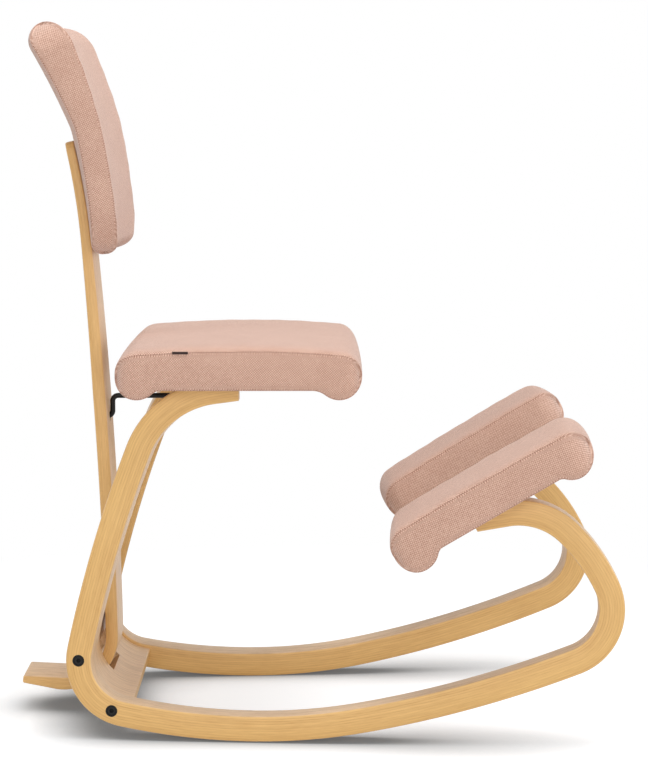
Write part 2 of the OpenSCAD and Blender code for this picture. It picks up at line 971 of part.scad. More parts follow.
module back_cover() {
    color(cloth)
        placed()
            difference() {
                back_form();
                back_form(cover_t);
                at_back_screws()
                    nut_way(back_board_t);
            }
}

// ---- screws, washers and nuts of the cushions ----
module cushion_screw(grip, board_t) {
    disc(bolt_d, grip + washer_t + cover_t + board_t, -grip - washer_t);
    difference() {
        disc(head_d, head_h, -grip - washer_t - head_h);
        translate([0, 0, -grip - washer_t - head_h - 1])
            cylinder(d = hex_d, h = head_h / 2 + 1, $fn = 6);
    }
}

module cushion_washer(grip) {
    difference() {
        disc(washer_d, washer_t, -grip - washer_t);
        disc(bolt_d + 2 * clearance, 3 * washer_t, -grip - 2 * washer_t);
    }
}

module tee_nut(board_t) {
    difference() {
        union() {
            disc(nut_barrel_d, board_t, cover_t);
            disc(nut_flange_d, nut_flange_t, cover_t + board_t);
        }
        disc(bolt_d + 2 * thread_gap, 2 * board_t, 0);
    }
}

module seat_bolts() {
    color(black)
        placed()
            both_sides()
                at_seat_screws()
                    cushion_screw(screw_grip, seat_board_t);
}

module seat_washers() {
    color(steel)
        placed()
            both_sides()
                at_seat_screws()
                    cushion_washer(screw_grip);
}

module seat_tee_nuts() {
    color(steel)
        placed()
            both_sides()
                at_seat_screws()
                    tee_nut(seat_board_t);
}

module knee_bolts() {
    color(black)
        placed()
            both_sides()
                at_knee_screws()
                    cushion_screw(screw_grip, knee_board_t);
}

module knee_washers() {
    color(steel)
        placed()
            both_sides()
                at_knee_screws()
                    cushion_washer(screw_grip);
}

module knee_tee_nuts() {
    color(steel)
        placed()
            both_sides()
                at_knee_screws()
                    tee_nut(knee_board_t);
}

module back_bolts() {
    color(black)
        placed()
            at_back_screws()
                cushion_screw(back_grip, back_board_t);
}

module back_washers() {
    color(steel)
        placed()
            at_back_screws()
                cushion_washer(back_grip);
}

module back_tee_nuts() {
    color(steel)
        placed()
            at_back_screws()
                tee_nut(back_board_t);
}

runner_left();
runner_right();
cross_panel();
panel_screws();
panel_cups();
panel_inserts();
back_post();
rod_sleeve();
support_rod();
rod_block();
rod_block_screws();
seat_board();
seat_foam();
seat_cover();
seat_bolts();
seat_washers();
seat_tee_nuts();
seam_tag();
knee_board_left();
knee_foam_left();
knee_cover_left();
knee_board_right();
knee_foam_right();
knee_cover_right();
knee_bolts();
knee_washers();
knee_tee_nuts();
back_board();
back_foam();
back_cover();
back_bolts();
back_washers();
back_tee_nuts();
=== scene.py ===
import json
import math

import bmesh
import bpy
import numpy as np
from mathutils import Matrix, Vector, noise

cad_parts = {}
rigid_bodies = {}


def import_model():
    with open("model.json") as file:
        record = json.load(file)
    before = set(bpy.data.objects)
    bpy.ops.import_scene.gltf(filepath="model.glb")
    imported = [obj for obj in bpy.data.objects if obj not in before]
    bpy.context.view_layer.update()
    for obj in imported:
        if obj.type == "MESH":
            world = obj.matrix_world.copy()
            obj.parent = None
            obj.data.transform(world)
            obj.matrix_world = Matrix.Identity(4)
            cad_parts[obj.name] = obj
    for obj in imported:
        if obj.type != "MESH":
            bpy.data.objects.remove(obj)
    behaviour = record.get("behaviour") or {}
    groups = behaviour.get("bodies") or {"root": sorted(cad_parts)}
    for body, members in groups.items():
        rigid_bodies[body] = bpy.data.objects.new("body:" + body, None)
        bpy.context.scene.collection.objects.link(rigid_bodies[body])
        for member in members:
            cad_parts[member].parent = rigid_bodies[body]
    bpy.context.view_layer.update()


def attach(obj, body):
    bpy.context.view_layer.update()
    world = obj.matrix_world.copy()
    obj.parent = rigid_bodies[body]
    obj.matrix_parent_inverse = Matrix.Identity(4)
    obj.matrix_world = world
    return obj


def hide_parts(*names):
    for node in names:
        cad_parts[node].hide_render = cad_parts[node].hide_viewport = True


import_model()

MM = 0.001
THREAD = 1.6 * MM                    # the cloth's thread pitch

# ---- the chair's measures: millimetres and degrees, and radians where math.radians stands;
# x runs from the runners' floor contact ----
SHIFT = 79.7297                      # from the floor contact to the part's origin
RUNNER_W, RUNNER_T, RUNNER_GAP = 40.0, 33.0, 324.0
TOE, LEAN = math.radians(3.8), math.radians(2.1)
FRONT = ((755, 10.9), (1490, 11), (72, 93.5), (234, 20.7), (91, 54.3))
REAR = ((861, 11.4), (70, 90.6), (1735, 9), (122, 61))
FRONT_END, REAR_END, SPARE = 41.0, 30.0, 14.0
SEAT_TIP, SEAT_Z = (-18.78, 164.528), 459.564
KNEE_TILT, KNEE_V, KNEE_TIP_U, KNEE_Y = math.radians(31), 104.24, 389.521, 190.965
BEND_C, BEND_R, BEND_MID = (-155.755, 102.037), 70.0, 213.3
SCREW_A, CUP_D, CUP_H = 34.0, 15.5, 8.0
PANEL_T, PANEL_FOOT, PANEL_EDGE_R = 24.0, 8.0, 2
POST_W, POST_T, POST_TOP_T, TAIL_T = 85.0, 17.0, 12.0, 10.0
FOOT_C, FOOT_R, TAIL_L, TAIL_SLOPE = (-263.255, 105.0), 66.0, 48.0, 7.0
POST = ((66, 98.0), (6800, 4.5), (950, 8.2))
TAPER_Z, POST_CORNER = 440.0, 14.0
BACK_T, BACK_ROLL = 33.0, 24.0
BACK_LOW_Z, BACK_HIGH_Z, BACK_FADE, BACK_CORNER = 627.0, 929.5, 120.0, 40.0
CLEAR = 0.3                          # between two pieces that lie against each other
BACK_W, BACK_REAR_R = 310.0, POST[2][0] + POST_T / 2 + CLEAR
BACK_LOW_CORNER, BACK_FRONT_CURVE = 66.0, 38
WRAP, WRAP_MORE, WRAP_FROM_Z, WRAP_FADE = 12.5, 6.0, 645, 150
NARROW, NARROW_L = 13, 135           # how much the back narrows, and over which length
SEAT_L, SEAT_W, SEAT_CORNER = 316, 422, 20
SEAT_ROLL, SEAT_RISE, SEAT_CROWN = 29, 17, 4.5
KNEE_L, KNEE_W, KNEE_AHEAD = 288, 138, 39
KNEE_ROLL, KNEE_ROLL_MORE, KNEE_RISE, KNEE_CROWN = 29, 1.6, 17.5, 1.5
KNEE_LOW_CORNER, KNEE_HIGH_CORNER = 24, 34
EDGE_R = 2.2                         # on the bent wood's long edges
SLOT_ABOVE_MID, SLOT_PLAY, SLOT_SIDE_PLAY = 30, 8.5, 1.5
TAG_BEHIND_TIP = 73
ROD_FACE_X, ROD_LOW_Z, MOUTH_D, MOUTH_L = -200.334, 401.564, 14.0, 4.0
BOLT_FIRST, BOLT_PITCH, GRIP, BACK_GRIP, RECESS_D = 22.0, 34.0, 9.0, 6.0, 13.0
DRILL_L, POST_DRILL_L = 50, 30       # the cutters' lengths, well past the wood
# how many stations of a runner's band each saw cut takes in
LEG_STATIONS, SEAT_TIP_STATIONS, KNEE_TIP_STATIONS = 34, 16, 10
SEAT_SAWN_Z = 0.4                    # metres; saw faces above it are the seat end's
# the cloth: shoulder along the seams, puckers at them, broad waves, ripples of the side panels
SHOULDER_REACH = 8.0
PUCKER_H, PUCKER_L, PUCKER_REACH, PUCKER_START = 0.45, 5.3, 16.0, 4.0
WAVE_H, WAVE_L = 0.9, 60
RIPPLE_H, RIPPLE_L = 0.35, 45
BACK_BOLT_LOW, BACK_BOLT_RISE, BACK_BOLT_SPAN = 38.0, 70.0, 42.0


def chair(v):
    """Millimetres from the floor contact to the part's metres."""
    return ((v[0] - SHIFT) * MM, v[1] * MM, v[2] * MM)


# ---------------------------------------------------------------- camera
cam_data = bpy.data.cameras.new("camera")
cam = bpy.data.objects.new("camera", cam_data)
bpy.context.collection.objects.link(cam)
bpy.context.scene.camera = cam
SENSOR, FOCAL_PX, IMAGE_H = 36.0, 2289.27, 763
cam_data.sensor_width = SENSOR
cam_data.lens = FOCAL_PX / IMAGE_H * SENSOR
cam_data.clip_start, cam_data.clip_end = 0.1, 30.0
right = Vector((0.99999537, -0.00304389, 0.0))
up = Vector((0.000338, 0.111195, 0.993799))
ahead = right.cross(up) * -1
CAM_AT = (0.00207, -3.0969, 0.79504)
cam.matrix_world = Matrix((
    (right.x, up.x, -ahead.x, CAM_AT[0]),
    (right.y, up.y, -ahead.y, CAM_AT[1]),
    (right.z, up.z, -ahead.z, CAM_AT[2]),
    (0, 0, 0, 1)))


# ---------------------------------------------------------------- materials
class Graph:
    """A material's node tree, built with short calls."""

    def __init__(self, name):
        self.mat = bpy.data.materials.new(name)
        self.mat.use_nodes = True
        self.tree = self.mat.node_tree
        self.tree.nodes.clear()
        self.out = self.add("ShaderNodeOutputMaterial")
        self.bsdf = self.add("ShaderNodeBsdfPrincipled")
        self.join(self.bsdf.outputs[0], self.out.inputs[0])

    def add(self, kind, **props):
        n = self.tree.nodes.new(kind)
        for k, v in props.items():
            setattr(n, k, v)
        return n

    def join(self, a, b):
        self.tree.links.new(a, b)

    def put(self, socket, value):
        if isinstance(value, bpy.types.NodeSocket):
            self.join(value, socket)
        else:
            socket.default_value = value

    def attr(self, name, what="Vector"):
        return self.add("ShaderNodeAttribute", attribute_name=name).outputs[what]

    def scaled(self, vec, scale):
        n = self.add("ShaderNodeVectorMath", operation="MULTIPLY")
        self.put(n.inputs[0], vec)
        n.inputs[1].default_value = scale
        return n.outputs[0]

    def noise(self, vec, scale=1.0, detail=2.0, rough=0.5):
        n = self.add("ShaderNodeTexNoise")
        self.put(n.inputs["Vector"], vec)
        n.inputs["Scale"].default_value = scale
        n.inputs["Detail"].default_value = detail
        n.inputs["Roughness"].default_value = rough
        return n.outputs["Fac"]

    def math(self, op, a, b=0.0, c=0.0, clamp=False):
        n = self.add("ShaderNodeMath", operation=op, use_clamp=clamp)
        for s, v in zip(n.inputs, (a, b, c)):
            self.put(s, v)
        return n.outputs[0]

    def part(self, vec, axis):
        n = self.add("ShaderNodeSeparateXYZ")
        self.put(n.inputs[0], vec)
        return n.outputs[axis]

    def remap(self, v, a, b, c=0.0, d=1.0):
        n = self.add("ShaderNodeMapRange")
        for s, x in zip(n.inputs, (v, a, b, c, d)):
            self.put(s, x)
        return n.outputs[0]

    def mix(self, fac, a, b, kind="MIX"):
        n = self.add("ShaderNodeMix", data_type="RGBA", blend_type=kind)
        self.put(n.inputs["Factor"], fac)
        self.put(n.inputs[6], a)
        self.put(n.inputs[7], b)
        return n.outputs[2]

    def bump(self, height, strength, distance):
        n = self.add("ShaderNodeBump")
        n.inputs["Strength"].default_value = strength
        n.inputs["Distance"].default_value = distance
        self.put(n.inputs["Height"], height)
        self.join(n.outputs[0], self.bsdf.inputs["Normal"])


def colour(r, g, b):
    """An sRGB colour from 0 to 255 as linear RGBA."""
    def lin(c):
        c /= 255
        return c / 12.92 if c < 0.04045 else ((c + 0.055) / 1.055) ** 2.4
    return (lin(r), lin(g), lin(b), 1.0)


def wood_material(name, edge, edge_dark, face, face_dark, layer):
    """Laminated wood: band = (along, across, wide) in metres, veneer = 1 on the bent faces."""
    g = Graph(name)
    band = g.attr("band")
    across = g.part(band, 1)
    # the laminations' edges on the sides
    step = g.math("DIVIDE", across, layer)
    number = g.math("FLOOR", step)
    tint = g.add("ShaderNodeTexWhiteNoise", noise_dimensions="1D")
    g.join(number, tint.inputs["W"])
    place = g.math("FRACT", step)
    glue = g.remap(g.math("ABSOLUTE", g.math("SUBTRACT", place, 0.5)), 0.34, 0.5)
    fibre = g.noise(g.scaled(band, (45, 1100, 1100)), 1.0, 3.0, 0.65)
    figure = g.noise(g.scaled(band, (14, 420, 420)), 1.0, 3.0, 0.6)
    cloud = g.noise(g.scaled(band, (7, 26, 26)), 1.0, 2.0, 0.5)
    shade = g.math("ADD", g.math("MULTIPLY", tint.outputs["Value"], 0.16),
                   g.math("MULTIPLY", glue, 0.28))
    shade = g.math("ADD", shade, g.math("MULTIPLY", g.remap(fibre, 0.38, 0.66), 0.26))
    shade = g.math("ADD", shade, g.math("MULTIPLY", g.remap(figure, 0.38, 0.66), 0.2))
    shade = g.math("ADD", shade, g.math("MULTIPLY", g.remap(cloud, 0.3, 0.7), 0.10), clamp=True)
    side = g.mix(shade, edge, edge_dark)
    # the bent faces' veneer, with long grain lines
    rings = g.noise(g.scaled(band, (2.4, 40, 70)), 1.0, 4.0, 0.6)
    ring = g.math("FRACT", g.math("MULTIPLY", rings, 8.0))
    lines = g.remap(g.math("ABSOLUTE", g.math("SUBTRACT", ring, 0.5)), 0.22, 0.5)
    pores = g.noise(g.scaled(band, (60, 60, 900)), 1.0, 2.0, 0.65)
    grain = g.math("ADD", g.math("MULTIPLY", lines, 0.5), g.math("MULTIPLY", g.remap(pores, 0.42, 0.7), 0.5))
    grain = g.math("ADD", grain, g.math("MULTIPLY", g.remap(cloud, 0.3, 0.7), 0.15), clamp=True)
    flat = g.mix(grain, face, face_dark)
    base = g.mix(g.attr("veneer", "Fac"), side, flat)
    g.join(base, g.bsdf.inputs["Base Color"])
    g.join(g.remap(fibre, 0.3, 0.7, 0.42, 0.54), g.bsdf.inputs["Roughness"])
    g.bsdf.inputs["Coat Weight"].default_value = 0.12
    g.bsdf.inputs["Coat Roughness"].default_value = 0.35
    height = g.math("SUBTRACT", g.math("MULTIPLY", fibre, 0.5), g.math("MULTIPLY", glue, 0.4))
    g.bump(height, 0.25, 0.0002)
    return g.mat


def cloth_material(name, light, mid, dark, deep):
    """Woven cloth: cloth = (u, v) in metres on the surface, seam = 1 along the seams, where the colour is
    darkened toward deep as painted shade in their grooves.
    """
    g = Graph(name)
    uv = g.attr("cloth")
    turned = g.add("ShaderNodeVectorRotate", rotation_type="Z_AXIS")
    g.join(uv, turned.inputs["Vector"])
    turned.inputs["Angle"].default_value = math.radians(5)
    u = g.math("DIVIDE", g.part(turned.outputs[0], 0), THREAD)
    v = g.math("DIVIDE", g.part(turned.outputs[0], 1), THREAD)
    # hopsack: threads take turns on top, so light and dark dots stand in a chequer
    dots = g.math("MULTIPLY", g.math("SINE", g.math("MULTIPLY", u, math.pi)),
                  g.math("SINE", g.math("MULTIPLY", v, math.pi)))
    weave = g.remap(dots, -0.45, 0.45)
    edges = [g.remap(g.math("ABSOLUTE", g.math("SUBTRACT", g.math("FRACT", thread_at), 0.5)), 0.36, 0.5)
             for thread_at in (u, v)]
    gap = g.math("MAXIMUM", *edges)
    thread = g.add("ShaderNodeTexWhiteNoise", noise_dimensions="2D")
    join = g.add("ShaderNodeCombineXYZ")
    g.join(g.math("FLOOR", u), join.inputs[0])
    g.join(g.math("FLOOR", v), join.inputs[1])
    g.join(join.outputs[0], thread.inputs["Vector"])
    fuzz = g.noise(uv, 900.0, 2.0, 0.7)
    patch = g.noise(uv, 26.0, 3.0, 0.5)
    tone = g.math("ADD", g.math("MULTIPLY", weave, 0.72), g.math("MULTIPLY", thread.outputs["Value"], 0.28))
    base = g.mix(g.remap(tone, 0.0, 0.5), dark, mid)
    base = g.mix(g.remap(tone, 0.5, 1.0), base, light)
    base = g.mix(g.math("MULTIPLY", gap, 0.35), base, deep)
    base = g.mix(g.remap(fuzz, 0.35, 0.7, 0.0, 0.22), base, light)
    base = g.mix(g.remap(patch, 0.35, 0.65, 0.0, 0.10), base, dark)
    # painted shade: the seams' grooves darkened toward deep
    base = g.mix(g.math("MULTIPLY", g.attr("seam", "Fac"), 0.38), base, deep)
    g.join(base, g.bsdf.inputs["Base Color"])
    g.join(g.remap(weave, 0.0, 1.0, 0.95, 0.82), g.bsdf.inputs["Roughness"])
    g.bsdf.inputs["Sheen Weight"].default_value = 0.3
    g.bsdf.inputs["Sheen Roughness"].default_value = 0.5
    g.bsdf.inputs["Specular IOR Level"].default_value = 0.25
    height = g.math("SUBTRACT", g.math("ADD", weave, g.math("MULTIPLY", fuzz, 0.4)), gap)
    g.bump(height, 0.4, 0.0005)
    return g.mat


def metal_material(name, base, worn, metallic, rough, scale, shine=0.5):
    """Painted or plated steel with a fine texture, worn patches, and painted shade in its recesses."""
    g = Graph(name)
    at = g.add("ShaderNodeTexCoord").outputs["Object"]
    fine = g.noise(at, scale, 3.0, 0.6)
    broad = g.noise(at, scale / 18, 2.0, 0.5)
    tone = g.math("ADD", g.math("MULTIPLY", g.remap(fine, 0.4, 0.75), 0.5),
                  g.math("MULTIPLY", g.remap(broad, 0.4, 0.7), 0.4), clamp=True)
    # painted shade: the base colour darkens toward a fifth of itself in recesses and crevices, by ambient
    # occlusion within 4 mm, and the surface grows rougher there
    open_to = g.add("ShaderNodeAmbientOcclusion", samples=12)
    open_to.inputs["Distance"].default_value = 4 * MM
    lit = g.remap(open_to.outputs["AO"], 0.35, 0.95)
    deep = tuple(c * 0.2 for c in base[:3]) + (1,)
    g.join(g.mix(lit, deep, g.mix(tone, base, worn)), g.bsdf.inputs["Base Color"])
    g.bsdf.inputs["Specular IOR Level"].default_value = shine
    g.bsdf.inputs["Metallic"].default_value = metallic
    gloss = g.math("SUBTRACT", g.remap(fine, 0.3, 0.7, rough - 0.07, rough + 0.1), 1.0)
    g.join(g.math("ADD", g.math("MULTIPLY", gloss, lit), 1.0), g.bsdf.inputs["Roughness"])
    g.bump(fine, 0.15, 0.0001)
    return g.mat


M_RUNNER = wood_material("runner_wood", colour(224, 182, 114), colour(176, 127, 64),
                         colour(228, 196, 156), colour(184, 148, 106), 3.3 * MM)
M_VENEER = wood_material("veneer_wood", colour(226, 183, 117), colour(182, 134, 72),
                         colour(230, 196, 154), colour(190, 154, 114), 1.7 * MM)
M_PLY = wood_material("board_ply", colour(214, 180, 130), colour(178, 140, 92),
                      colour(212, 184, 146), colour(184, 152, 112), 1.5 * MM)
M_CLOTH = cloth_material("cushion_cloth", colour(226, 192, 173), colour(202, 163, 144),
                         colour(158, 112, 93), colour(126, 84, 70))
M_TAG = cloth_material("tag_cloth", colour(66, 46, 40), colour(52, 35, 30),
                       colour(36, 24, 21), colour(20, 14, 12))
M_BLACK = metal_material("black_steel", colour(8, 8, 8), colour(20, 19, 18), 0.0, 0.4, 900, 0.28)
M_ZINC = metal_material("zinc_steel", colour(176, 178, 182), colour(140, 141, 144), 1.0, 0.32, 1200)
M_PLASTIC = metal_material("black_plastic", colour(20, 20, 20), colour(36, 36, 36), 0.0, 0.55, 1500)


# ---------------------------------------------------------------- mesh tools
def new_object(name, verts, faces, material):
    mesh = bpy.data.meshes.new(name)
    mesh.from_pydata([tuple(v) for v in verts], [], [tuple(f) for f in faces])
    mesh.validate()
    mesh.update()
    obj = bpy.data.objects.new(name, mesh)
    bpy.context.collection.objects.link(obj)
    mesh.materials.append(material)
    return obj


def smooth(mesh, angle=35):
    mesh.polygons.foreach_set("use_smooth", [True] * len(mesh.polygons))
    mesh.set_sharp_from_angle(angle=math.radians(angle))
    mesh.update()


def set_attribute(mesh, name, values):
    values = np.asarray(values, dtype=np.float32)
    kind = "FLOAT_VECTOR" if values.ndim == 2 else "FLOAT"
    a = mesh.attributes.get(name) or mesh.attributes.new(name, kind, "POINT")
    a.data.foreach_set("vector" if values.ndim == 2 else "value", values.ravel())


def coordinates(mesh):
    co = np.empty(len(mesh.vertices) * 3)
    mesh.vertices.foreach_get("co", co)
    return co.reshape(-1, 3)


def from_part(co):
    """The part's metres back to millimetres from the floor contact."""
    return co / MM + np.array([SHIFT, 0, 0])


def face_out(mesh):
    """Turns every face of a closed mesh outward."""
    bm = bmesh.new()
    bm.from_mesh(mesh)
    bmesh.ops.recalc_face_normals(bm, faces=bm.faces)
    bm.to_mesh(mesh)
    bm.free()


def cut_holes(obj, cutters):
    """Takes closed cutter meshes out of an object, and deletes them."""
    for c in cutters:
        m = obj.modifiers.new("hole", "BOOLEAN")
        m.operation, m.solver, m.object = "DIFFERENCE", "EXACT", c
    done = bpy.data.meshes.new_from_object(obj.evaluated_get(bpy.context.evaluated_depsgraph_get()))
    obj.modifiers.clear()
    old, obj.data = obj.data, done
    done.name = obj.name
    bpy.data.meshes.remove(old)
    for c in cutters:
        bpy.data.objects.remove(c)


def drill(at, axis, r, l):
    """A closed cylinder cutter from at along axis; at and sizes in millimetres."""
    axis = Vector(axis).normalized()
    turn = axis.to_track_quat("Z", "Y").to_matrix()
    n = 40
    verts = []
    for end in (0.0, l):
        for k in range(n):
            a = 2 * math.pi * k / n
            verts.append(chair(Vector(at) + turn @ Vector((r * math.cos(a), r * math.sin(a), end))))
    faces = [tuple(range(n - 1, -1, -1)), tuple(range(n, 2 * n))]
    faces += [(k, (k + 1) % n, n + (k + 1) % n, n + k) for k in range(n)]
    return new_object("cutter", verts, faces, M_BLACK)


# ---------------------------------------------------------------- bent wood
def way(x, z, heading, stretches, end=0.0):
    """Places (x, z, heading, way gone) along stretches of [radius, turn] and a straight end."""
    s = 0.0
    out = [(x, z, heading, s)]
    for r, a in stretches:
        n = max(2, math.ceil(abs(a) / 3), math.ceil(r * math.radians(abs(a)) / 12))
        h0 = math.radians(heading)
        for k in range(1, n + 1):
            h1 = math.radians(heading + a * k / n)
            out.append((x + r * (math.sin(h1) - math.sin(h0)), z - r * (math.cos(h1) - math.cos(h0)),
                        heading + a * k / n, s + r * math.radians(a) * k / n))
        x, z, heading, s = out[-1]
    if end:
        h = math.radians(heading)
        for k in range(1, 5):
            gone = end * k / 4
            out.append((x + gone * math.cos(h), z + gone * math.sin(h), heading, s + gone))
    return out


def rounded(d0, d1, w0, w1, r, n=3):
    """A rounded rectangle's points (across, wide)."""
    out = []
    for cd, cw, a0 in ((d1 - r, w1 - r, 0), (d0 + r, w1 - r, 90),
                       (d0 + r, w0 + r, 180), (d1 - r, w0 + r, 270)):
        for k in range(n + 1):
            a = math.radians(a0 + 90 * k / n)
            out.append((cd + r * math.cos(a), cw + r * math.sin(a)))
    return out


def sweep(frames, sections):
    """Verts and faces of a solid band: frames are (x, z, nx, nz, s), sections lists of (across, wide)."""
    verts, faces = [], []
    n = len(sections[0])
    for (x, z, nx, nz, s), sec in zip(frames, sections):
        verts += [(x + nx * d, w, z + nz * d) for d, w in sec]
    for i in range(len(frames) - 1):
        a, b = i * n, (i + 1) * n
        faces += [(a + k, a + (k + 1) % n, b + (k + 1) % n, b + k) for k in range(n)]
    faces.append(tuple(range(n - 1, -1, -1)))
    faces.append(tuple((len(frames) - 1) * n + k for k in range(n)))
    return verts, faces


def band_attributes(mesh, frames, local, width, half, soft=1.2, reach=0.35):
    """Stores where each vertex lies in its band; local turns part metres into the band's millimetres.
    A vertex within reach of a bent face gets its veneer, fading over soft toward the sides."""
    p = local(coordinates(mesh))
    f = np.array(frames)
    xz, nrm, s = f[:, :2], f[:, 2:4], f[:, 4]
    a, b = xz[:-1], xz[1:]
    ab = b - a
    length = (ab ** 2).sum(1)
    q = p[:, None, [0, 2]]
    t = (((q - a) * ab).sum(2) / length).clip(0, 1)
    gap = q - (a + t[:, :, None] * ab)
    best = (gap ** 2).sum(2).argmin(1)
    i = np.arange(len(p))
    tb = t[i, best]
    n = nrm[best] * (1 - tb[:, None]) + nrm[best + 1] * tb[:, None]
    d = (gap[i, best] * n).sum(1)
    along = s[best] * (1 - tb) + s[best + 1] * tb
    set_attribute(mesh, "band", np.stack([along, d, p[:, 1]], 1) * MM)
    lo, hi = half(along, p)
    near_face = np.minimum(np.abs(d - lo), np.abs(hi - d))
    near_side = np.minimum(np.abs(p[:, 1] - width[0]), np.abs(width[1] - p[:, 1]))
    set_attribute(mesh, "veneer", (near_face < reach) * np.clip(near_side / soft, 0, 1))


front = [(x, z, -math.sin(math.radians(h)), math.cos(math.radians(h)), s)
         for x, z, h, s in way(0, RUNNER_T / 2, 0, FRONT, FRONT_END + SPARE)]
rear = [(-x, z, math.sin(math.radians(h)), math.cos(math.radians(h)), -s)
        for x, z, h, s in way(0, RUNNER_T / 2, 0, REAR, REAR_END + SPARE)]
RUNNER_WAY = rear[:0:-1] + front
TURN = Matrix.Rotation(TOE, 3, "Z") @ Matrix.Rotation(LEAN, 3, "X")


def trim(bm, stations, point, normal):
    """Saws a band off at a plane, only where its faces belong to the given stations."""
    lay = bm.faces.layers.int["station"]
    some = [f for f in bm.faces if f[lay] in stations]
    # each once and in a fixed order, so that every run gives the same mesh
    geom = list(dict.fromkeys(v for f in some for v in f.verts))
    geom += dict.fromkeys(e for f in some for e in f.edges)
    geom += some
    made = bmesh.ops.bisect_plane(bm, geom=geom, plane_co=point, plane_no=normal, clear_outer=True, dist=1e-7)
    edges = [e for e in made["geom_cut"] if isinstance(e, bmesh.types.BMEdge)]
    for f in bmesh.ops.edgenet_fill(bm, edges=edges)["faces"]:
        f[lay] = -1


def knee_frame(u, v, y):
    c, s = math.cos(KNEE_TILT), math.sin(KNEE_TILT)
    return (u * c - v * s, y, u * s + v * c)


def make_runner(name, side):
    sections = [rounded(-RUNNER_T / 2, RUNNER_T / 2, 0, RUNNER_W, EDGE_R)] * len(RUNNER_WAY)
    verts, faces = sweep(RUNNER_WAY, sections)
    n = len(sections[0])
    bm = bmesh.new()
    made = [bm.verts.new(chair(TURN @ Vector(v) + Vector((0, RUNNER_GAP / 2, 0)))) for v in verts]
    lay = bm.faces.layers.int.new("station")
    last = len(RUNNER_WAY) - 2
    for k, f in enumerate(faces):
        bm.faces.new([made[i] for i in f])[lay] = min(k // n, last)
    bm.faces.ensure_lookup_table()
    bm.faces[len(faces) - 2][lay] = 0
    top = range(0, LEG_STATIONS)
    trim(bm, top, chair((0, 0, SEAT_Z)), (0, 0, 1))
    trim(bm, range(-1, SEAT_TIP_STATIONS), chair((SEAT_TIP[0], 0, 0)), (1, 0, 0))
    end = range(last - LEG_STATIONS, last + 1)
    normal = Vector((-math.sin(KNEE_TILT), 0, math.cos(KNEE_TILT)))
    trim(bm, end, chair(knee_frame(0, KNEE_V, 0)), normal)
    tip = [-1] + list(range(last - KNEE_TIP_STATIONS, last + 1))
    low = Vector((-math.cos(KNEE_TILT), 0, -math.sin(KNEE_TILT)))
    lay = bm.faces.layers.int["station"]
    for f in bm.faces:
        if f[lay] == -1 and f.calc_center_median().z > SEAT_SAWN_Z:
            f[lay] = -2
    trim(bm, tip, chair(knee_frame(KNEE_TIP_U, 0, 0)), low)
    bmesh.ops.triangulate(bm, faces=[f for f in bm.faces if len(f.verts) > 4])
    if side < 0:
        bmesh.ops.scale(bm, vec=(1, -1, 1), verts=bm.verts)
        bmesh.ops.reverse_faces(bm, faces=bm.faces)
    mesh = bpy.data.meshes.new(name)
    bm.to_mesh(mesh)
    bm.free()
    obj = bpy.data.objects.new(name, mesh)
    bpy.context.collection.objects.link(obj)
    mesh.materials.append(M_RUNNER)

    def out(v):
        return (v[0], v[1] * side, v[2])

    cutters = []
    for a in (-SCREW_A, SCREW_A):
        t = math.radians(BEND_MID + a)
        own = Vector((-REAR_BEND[0] + BEND_R * math.cos(t), RUNNER_W - CUP_H,
                      REAR_BEND[1] + BEND_R * math.sin(t)))
        at = TURN @ own + Vector((0, RUNNER_GAP / 2, 0))
        cutters.append(drill(out(at), out(TURN @ Vector((0, 1, 0))), CUP_D / 2 + 0.05, 2 * CUP_H))
    for k in (0, 1):
        s = BOLT_FIRST + k * BOLT_PITCH
        y = SEAT_TIP[1] - s * math.tan(TOE)
        low_end = (SEAT_TIP[0] - s, y, SEAT_Z - GRIP - DRILL_L)
        cutters.append(drill(out(low_end), (0, 0, 1), RECESS_D / 2, DRILL_L))
        y = KNEE_Y + s * math.cos(KNEE_TILT) * math.tan(TOE)
        low_end = knee_frame(KNEE_TIP_U + s, KNEE_V - GRIP - DRILL_L, y)
        cutters.append(drill(out(low_end), normal, RECESS_D / 2, DRILL_L))
    cut_holes(obj, cutters)

    def local(co):
        p = from_part(co)
        p[:, 1] = p[:, 1] * side - RUNNER_GAP / 2
        return p @ np.array(TURN)

    band_attributes(obj.data, RUNNER_WAY, local, (0, RUNNER_W),
                    lambda s, p: (-RUNNER_T / 2, RUNNER_T / 2))
    smooth(obj.data)
    return obj


x, z, h, s = way(0, RUNNER_T / 2, 0, REAR[:1])[-1]
REAR_BEND = (x - BEND_R * math.sin(math.radians(h)), z + BEND_R * math.cos(math.radians(h)))

runners = [make_runner("runner_left_band", 1), make_runner("runner_right_band", -1)]
for obj, node in zip(runners, ("runner_left", "runner_right")):
    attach(obj, "root")
    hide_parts(node)


# ---- back post ----
TAIL_A = math.radians(270 - TAIL_SLOPE)
TAIL_JOIN = (FOOT_C[0] + FOOT_R * math.cos(TAIL_A), FOOT_C[1] + FOOT_R * math.sin(TAIL_A))
x, z, h, s = way(*TAIL_JOIN, -TAIL_SLOPE, POST[:2])[-1]
HIGH_C = (x - POST[2][0] * math.sin(math.radians(h)), z + POST[2][0] * math.cos(math.radians(h)))
POST_TOP_Z = way(*TAIL_JOIN, -TAIL_SLOPE, POST)[-1][1]


def post_thickness(z):
    return POST_T - (POST_T - POST_TOP_T) * max(0.0, z - TAPER_Z) / (POST_TOP_Z - TAPER_Z)


